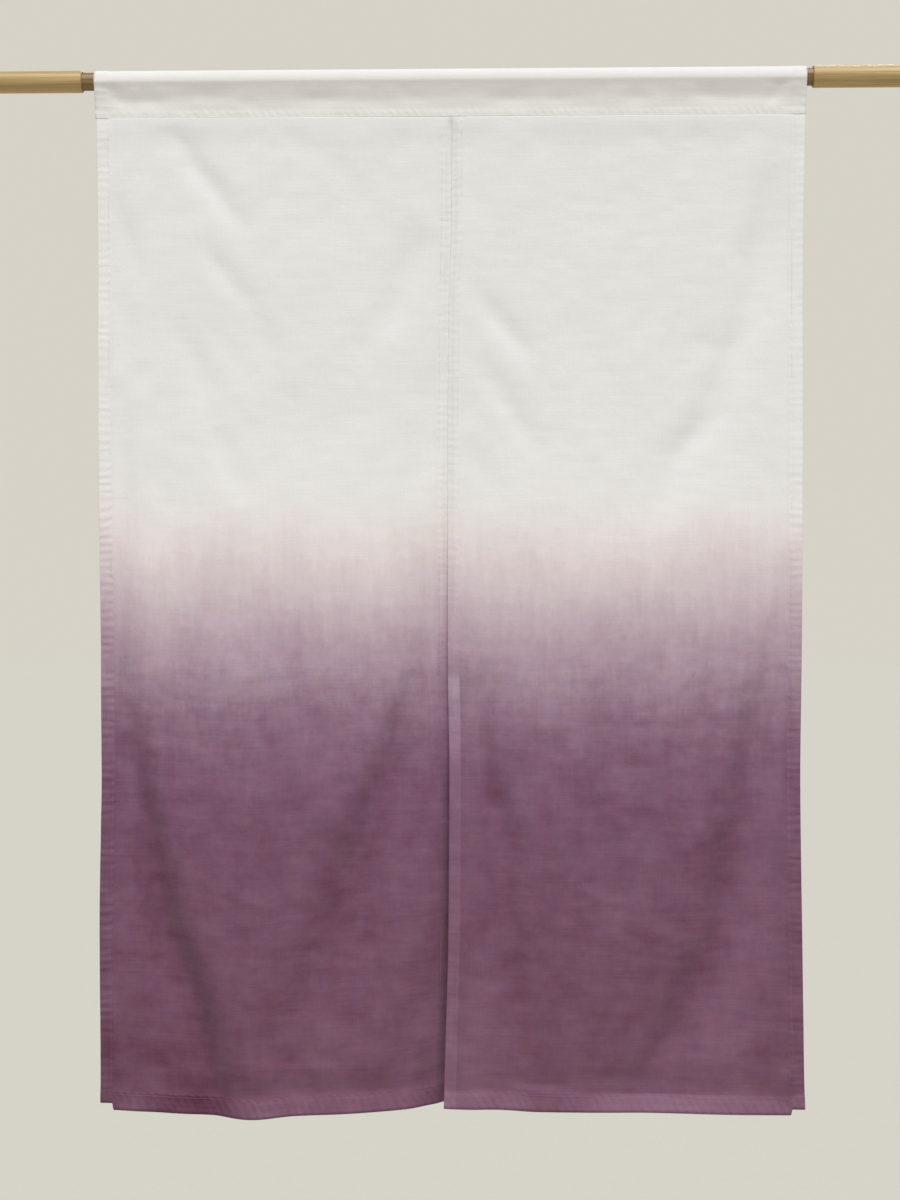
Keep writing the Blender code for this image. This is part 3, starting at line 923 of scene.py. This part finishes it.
# %% Dye colours down the cloth
DYE_TOP, DYE_END = 0.440, 1.150  # metres below the panels' top edge
Dye = namedtuple("Dye", "down red green blue")
DYES = [
    Dye(0.440, 229, 228, 225),
    Dye(0.485, 230, 227, 224),
    Dye(0.525, 227, 219, 217),
    Dye(0.560, 217, 205, 205),
    Dye(0.605, 201, 185, 190),
    Dye(0.650, 183, 160, 171),
    Dye(0.695, 165, 139, 154),
    Dye(0.740, 144, 115, 133),
    Dye(0.785, 131, 97, 118),
    Dye(0.840, 121, 84, 107),
    Dye(0.900, 117, 80, 102),
    Dye(1.000, 114, 77, 98),
    Dye(1.150, 111, 74, 94),
]
DYED_START, DYED_FULL = 0.560, 0.800  # where the cloth counts as dyed, for its unevenness
THREAD_PITCH = 0.00085
STREAK, WAVE, MOTTLE = 0.044, 0.058, 0.030
RIPPLE, CLOUD = 0.42, 0.54  # how uneven the dyed part is, in ripples across it and in clouds
PALER = 0.16  # how much brighter a fully paler place is
GREEN_MORE, BLUE_MORE = 0.60, 0.32  # dark places are deeper in colour, and pale ones greyer
SLUB_TONE, SLUB_IN_DYE = 0.11, 0.22  # how much the threads' tone varies, and more where dyed
WARMTH = 0.12
PUCKER_PITCH = 0.0105
PUCKER_HEIGHT = 0.23  # millimetres
PUCKER_SLANT = 0.55  # how far a bottom hem's pucker leans along it for each metre down

# The cloth's noises: grains to the metre across and down, detail and roughness
GRAINS = {
    "wave": (9, 6, 3.0, 0.5),
    "streak": (70, 12, 3.0, 0.6),
    "mottle": (130, 90, 2.6, 0.7),
    "slub": (14, 620, 2.0, 0.5),
    "upright_slub": (620, 9, 2.0, 0.5),
    "ripple": (19, 60, 3.0, 0.6),
    "cloud": (30, 22, 3.0, 0.7),
    "warmth": (38, 30, 3.0, 0.5),
}


def dye_ramp(tree, down):
    """The dye's colour at a distance down the cloth."""
    share = maths(tree, "DIVIDE", maths(tree, "SUBTRACT", down, DYE_TOP), DYE_END - DYE_TOP)
    ramp = add_node(tree, "ShaderNodeValToRGB", {0: share})
    stops = ramp.color_ramp.elements
    while len(stops) < len(DYES):
        stops.new(0.5)
    for stop, dye in zip(stops, DYES):
        stop.position = (dye.down - DYE_TOP) / (DYE_END - DYE_TOP)
        stop.color = linear(dye.red, dye.green, dye.blue)
    ramp.color_ramp.interpolation = "CARDINAL"
    return ramp.outputs["Color"]


def point_share(tree, name):
    return add_node(tree, "ShaderNodeAttribute", attribute_name=name).outputs["Fac"]


def centred(tree, noise, size):
    """Noise moved to lie around 0 and multiplied by a size."""
    return product(tree, maths(tree, "SUBTRACT", noise, 0.5), size)


def pucker_waves(tree, place, along, share):
    """Ripples across a hem, in millimetres, uneven in pitch and strength."""
    sway = centred(tree, stretched_noise(tree, place, (16, 16, 1), 1.0), 1.6)
    strength = stretched_noise(tree, place, (34, 34, 2), 1.0)
    strength = map_range(tree, strength, 0.35, 0.62, 0.25)
    turns = total(tree, maths(tree, "DIVIDE", along, PUCKER_PITCH), sway)
    wave = maths(tree, "SINE", product(tree, turns, 2 * pi))
    return product(tree, wave, strength, PUCKER_HEIGHT, share)


def dyed_tone(tree, noises, slubs, in_dye):
    """How much brighter or darker each place is, a little more in green and blue where dyed."""
    threads = product(tree, slubs, total(tree, SLUB_TONE, product(tree, in_dye, SLUB_IN_DYE)))
    ripples, clouds = centred(tree, noises["ripple"], RIPPLE), centred(tree, noises["cloud"], CLOUD)
    # The paler share also holds painted shade and painted light: darker folds, patches, the bottom
    # hem, and the heading's flank and top
    pale = product(tree, point_share(tree, "paler"), PALER)
    tone = total(tree, threads, product(tree, total(tree, ripples, clouds), in_dye), pale)
    warmth = product(tree, centred(tree, noises["warmth"], WARMTH), in_dye)
    channels = []
    for more, warm in ((0.0, 1.0), (GREEN_MORE, 0.0), (BLUE_MORE, -1.0)):
        part = product(tree, tone, total(tree, 1.0, product(tree, in_dye, more)))
        warmer = total(tree, 1.0, product(tree, warmth, warm))
        channels.append(product(tree, total(tree, 1.0, part), warmer))
    return output(tree, "ShaderNodeCombineColor", dict(enumerate(channels)))


def cloth_finish(name, dyed):
    """Matt plain-weave cloth with slubs and puckered hems, dyed or left white."""
    material, tree = new_finish(name)
    place = output(tree, "ShaderNodeUVMap", uv_map=CLOTH_MAP)
    across, down, _ = add_node(tree, "ShaderNodeSeparateXYZ", {0: place}).outputs
    noises = {
        name: stretched_noise(tree, place, (wide, tall, 1), detail, roughness)
        for name, (wide, tall, detail, roughness) in GRAINS.items()
    }
    slubs = [centred(tree, noises["slub"], 0.7), centred(tree, noises["upright_slub"], 0.3)]
    slubs = total(tree, *slubs)
    if dyed:
        sizes = {"wave": WAVE, "streak": STREAK, "mottle": MOTTLE}
        shifts = [centred(tree, noises[name], size) for name, size in sizes.items()]
        reads = total(tree, down, point_share(tree, "climbed"), *shifts)
        colour = dye_ramp(tree, reads)
        smooth = {"interpolation_type": "SMOOTHSTEP"}
        in_dye = map_range(tree, reads, DYED_START, DYED_FULL, **smooth)
    else:
        whites = {"Factor": noises["wave"], "A": linear(231, 228, 224), "B": linear(235, 233, 230)}
        colour = add_node(tree, "ShaderNodeMix", whites, data_type="RGBA").outputs["Result"]
        in_dye = 0.0
    tones = dyed_tone(tree, noises, slubs, in_dye)
    toned = add_node(
        tree, "ShaderNodeMix", {"Factor": 1.0, "A": colour, "B": tones},
        data_type="RGBA", blend_type="MULTIPLY",
    )

    # Puckers first, then the weave on top of them
    side = pucker_waves(tree, place, down, point_share(tree, "side_hem"))
    leaning = maths(tree, "SUBTRACT", across, product(tree, down, PUCKER_SLANT))
    foot = pucker_waves(tree, place, leaning, point_share(tree, "foot_hem"))
    hems = bump(tree, 1.0, 0.001, total(tree, side, foot))
    warp, weft = (product(tree, way, pi / THREAD_PITCH) for way in (across, down))
    weave = product(tree, maths(tree, "SINE", warp), maths(tree, "SINE", weft), 0.25)
    height = total(tree, weave, slubs, centred(tree, noises["mottle"], 1.6))
    feed_shader(tree, {
        "Base Color": toned.outputs["Result"],
        "Normal": bump(tree, 0.38, 0.0004, height, Normal=hems),
        "Roughness": 0.92,
        "Specular IOR Level": 0.25,
        "Sheen Weight": 0.12,
        "Sheen Roughness": 0.5,
    })
    return material


dyed_finish = cloth_finish("dip_dyed_cloth", True)
white_finish = cloth_finish("white_cloth", False)
left_cloth.data.materials.append(dyed_finish)
right_cloth.data.materials.append(dyed_finish)
heading_cloth.data.materials.append(white_finish)
print("cloth finishes made")

# %% [markdown]
# Every stitch is a short piece of thread that lies in its groove. Thousands of them
# follow a few lines, so Geometry Nodes make them: each line becomes a curve, points are
# set along it at the stitch pitch, and each gets a small rounded stitch, turned along the
# line and a little unlike its neighbours. The result becomes a plain mesh.

# %% Stitches
STITCH_PITCH = 0.0034
STITCH_LENGTH = 0.0027
THREAD_RADIUS = 0.00026
THREAD_PALER = 0.12  # how much paler than the cloth the thread took the dye
THREAD_PROUD = 0.35  # the share of its radius by which a stitch's middle stands out
LINE_STEP = 0.002
STITCH_SEED = 7


def thread_finish():
    """Thread that was dyed with the cloth, read from its height."""
    material, tree = new_finish("dyed_thread")
    place = add_node(tree, "ShaderNodeTexCoord").outputs["Object"]
    height = add_node(tree, "ShaderNodeSeparateXYZ", {0: place}).outputs["Z"]
    waves = centred(tree, stretched_noise(tree, place, (40, 40, 9), 2.0), WAVE)
    colour = dye_ramp(tree, total(tree, maths(tree, "SUBTRACT", PANEL_TOP, height), waves))
    paler = {"Factor": THREAD_PALER, "A": colour, "B": linear(238, 232, 232)}
    lift = add_node(tree, "ShaderNodeMix", paler, data_type="RGBA")
    feed_shader(tree, {"Base Color": lift.outputs["Result"], "Roughness": 0.7})
    return material


def stitch_tree(thread):
    """Geometry nodes that lay stitches along every edge line of a mesh."""
    tree = bpy.data.node_groups.new("stitches_along_lines", "GeometryNodeTree")
    face = tree.interface
    face.new_socket("Lines", in_out="INPUT", socket_type="NodeSocketGeometry")
    sizes = {"Pitch": STITCH_PITCH, "Length": STITCH_LENGTH, "Radius": THREAD_RADIUS}
    for name, value in sizes.items():
        face.new_socket(name, in_out="INPUT", socket_type="NodeSocketFloat").default_value = value
    face.new_socket("Stitches", in_out="OUTPUT", socket_type="NodeSocketGeometry")
    given = tree.nodes.new("NodeGroupInput").outputs
    line = output(tree, "GeometryNodeMeshToCurve", {"Mesh": given["Lines"]})
    points = {"Curve": line, "Length": given["Pitch"]}
    points = output(tree, "GeometryNodeResampleCurve", points, mode="LENGTH")
    way = output(tree, "GeometryNodeInputTangent")
    turn = output(tree, "FunctionNodeAlignRotationToVector", {"Vector": way}, axis="X")
    ball = output(tree, "GeometryNodeMeshUVSphere", {"Segments": 6, "Rings": 4, "Radius": 1.0})
    size = {0: product(tree, given["Length"], 0.5), 1: given["Radius"], 2: given["Radius"]}
    size = output(tree, "ShaderNodeCombineXYZ", size)
    stitch = output(tree, "GeometryNodeTransform", {"Geometry": ball, "Scale": size})
    unlike = {"Min": (0.82, 0.85, 0.85), "Max": (1.05, 1.15, 1.15), "Seed": STITCH_SEED}
    unlike = output(tree, "FunctionNodeRandomValue", unlike, data_type="FLOAT_VECTOR")
    placed = {"Points": points, "Instance": stitch, "Rotation": turn, "Scale": unlike}
    placed = output(tree, "GeometryNodeInstanceOnPoints", placed)
    real = output(tree, "GeometryNodeRealizeInstances", {"Geometry": placed})
    smooth = output(tree, "GeometryNodeSetShadeSmooth", {"Geometry": real})
    dressed = {"Geometry": smooth, "Material": thread}
    dressed = output(tree, "GeometryNodeSetMaterial", dressed)
    feed(tree, tree.nodes.new("NodeGroupOutput"), {"Stitches": dressed})
    return tree


def sewn(name, lines, tree):
    """Lays stitches on open lines of points and returns them as one plain mesh."""
    edges, start = [], 0
    for line in lines:
        edges += [(start + k, start + k + 1) for k in range(len(line) - 1)]
        start += len(line)
    mesh = bpy.data.meshes.new(name + "_lines")
    mesh.from_pydata(np.concatenate(lines).tolist(), edges, [])
    guide = put_in_scene(name + "_lines", mesh)
    guide.modifiers.new("stitches", "NODES").node_group = tree
    shaped = guide.evaluated_get(bpy.context.evaluated_depsgraph_get())
    mesh = bpy.data.meshes.new_from_object(shaped)
    bpy.data.objects.remove(guide, do_unlink=True)
    mesh.name = name
    print(name, len(mesh.polygons), "faces")
    return put_in_scene(name, mesh)


def panel_lines(panel):
    """The stitch lines of a panel's three hems, on its front and on its back."""
    left = panel.left_hem - STITCH_INSET
    right = panel_width(panel) - panel.right_hem + STITCH_INSET
    foot = PANEL_HEIGHT - BOTTOM_HEM + STITCH_INSET
    upright = even_steps(PANEL_TOP - HEMS_START + 0.002, foot, LINE_STEP)
    level = even_steps(left, right, LINE_STEP)
    lines = []
    for side in (-1, 1):
        lift = np.array([0.0, side * THREAD_RADIUS * THREAD_PROUD, 0.0])
        for across, down in ((left, upright), (right, upright), (level, foot)):
            lines.append(cloth_at(panel, across, down, side) + lift)
    return lines


stitches = stitch_tree(thread_finish())
left_stitches = sewn("stitches_left", panel_lines(LEFT_PANEL), stitches)
right_stitches = sewn("stitches_right", panel_lines(RIGHT_PANEL), stitches)
heading_stitches = sewn("stitches_heading", list(seam_lines), stitches)

# %% [markdown]
# The rod's solids have their right shape already, so they only get their wood, whose grain
# is noise that is long along X and very fine across it. The core is a darker wood, and the
# pole ends are pale and lightly varnished.


# %% Wood finishes
def wood_finish(name, light, dark):
    material, tree = new_finish(name)
    place = add_node(tree, "ShaderNodeTexCoord").outputs["Object"]
    grain = stretched_noise(tree, place, (7, 420, 420), 4.0, 0.6)
    cloud = stretched_noise(tree, place, (5, 60, 60), 2.0)
    mixed = total(tree, product(tree, grain, 0.65), product(tree, cloud, 0.35))
    ramp = add_node(tree, "ShaderNodeValToRGB", {0: mixed})
    for stop, position, colour in zip(ramp.color_ramp.elements, (0.36, 0.62), (dark, light)):
        stop.position, stop.color = position, colour
    grained = bump(tree, 0.35, 0.0003, grain)
    feeds = {"Base Color": ramp.outputs["Color"], "Normal": grained, "Roughness": 0.5}
    feed_shader(tree, feeds)
    return material


pale_wood = wood_finish("pale_rod_wood", linear(190, 163, 110), linear(160, 130, 77))
dark_wood = wood_finish("dark_core_wood", linear(146, 116, 74), linear(104, 78, 46))
finishes = {"rod_core": dark_wood, "rod_end_left": pale_wood, "rod_end_right": pale_wood}
for node, finish in finishes.items():
    materials = bpy.data.objects[node].data.materials
    for slot in range(len(materials)):
        materials[slot] = finish
print("wood on", ", ".join(finishes))

# %% [markdown]
# A pale floor lies two metres below the rod, as under a real doorway. The light is soft
# and comes mostly from above the front, as from a ceiling, which leaves each fold's lower
# wall bright and its upper wall dark. A sun lamp with a wide angle gives it evenly from
# the rod to the hem, and a weaker one from behind lights the back. The world lights the
# rest softly, and its visible colour meets the floor without a hard line.

# %% Floor and light
FLOOR_Z = -2.0
FLOOR_HALF = 40.0
FLOOR_COLOUR = linear(186, 183, 173)
SEEN_WORLD = linear(214, 210, 199)
LIT_WORLD = (0.198, 0.202, 0.228, 1.0)

corners = [(-1, -1), (1, -1), (1, 1), (-1, 1)]
corners = [(x * FLOOR_HALF, y * FLOOR_HALF, FLOOR_Z) for x, y in corners]
floor_mesh = bpy.data.meshes.new("floor")
floor_mesh.from_pydata(corners, [], [(0, 1, 2, 3)])
floor = put_in_scene("floor", floor_mesh)
floor_finish, tree = new_finish("floor_finish")
feed_shader(tree, {"Base Color": FLOOR_COLOUR, "Roughness": 0.9, "Specular IOR Level": 0.0})
floor_mesh.materials.append(floor_finish)

world = bpy.data.worlds.new("studio")
world.use_nodes = True
tree = world.node_tree
seen = tree.nodes["Background"]
feed(tree, seen, {"Color": SEEN_WORLD})
lit = output(tree, "ShaderNodeBackground", {"Color": LIT_WORLD})
ray = add_node(tree, "ShaderNodeLightPath").outputs["Is Camera Ray"]
mixed = output(tree, "ShaderNodeMixShader", {0: ray, 1: lit, 2: seen.outputs[0]})
feed(tree, tree.nodes["World Output"], {"Surface": mixed})
bpy.context.scene.world = world

Light = namedtuple("Light", "name place aim spread strength")
LIGHTS = [
    Light("ceiling", (0.08, -1.0, 1.15), (0.0, 0.0, -0.6), 24, 3.45),
    Light("behind", (0.5, 1.6, 0.6), (0.0, 0.0, -0.6), 30, 1.2),
]


def aim_at(obj, target):
    way = np.array(target) - np.array(obj.location)
    level = hypot(way[0], way[1])
    obj.rotation_euler = (atan2(level, -way[2]), 0.0, atan2(-way[0], way[1]))


for light in LIGHTS:
    data = bpy.data.lights.new(light.name, "SUN")
    data.angle = radians(light.spread)
    data.energy = light.strength
    lamp = put_in_scene(light.name, data)
    lamp.location = light.place
    aim_at(lamp, light.aim)
print(len(LIGHTS), "lights")

# %% [markdown]
# Last, every new piece is tied to the imported model's root, the three plain cloth solids
# are hidden, and each panel's finished flat size is worked out.

# %% Tie the pieces to the model
cloths = [left_cloth, right_cloth, heading_cloth]
threads = [left_stitches, right_stitches, heading_stitches]
for piece in cloths + threads:
    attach(piece, "root")
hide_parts("panel_left")
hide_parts("panel_right")
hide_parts("heading")
for piece, panel in ((left_cloth, LEFT_PANEL), (right_cloth, RIGHT_PANEL)):
    size = (panel_width(panel), PANEL_HEIGHT)
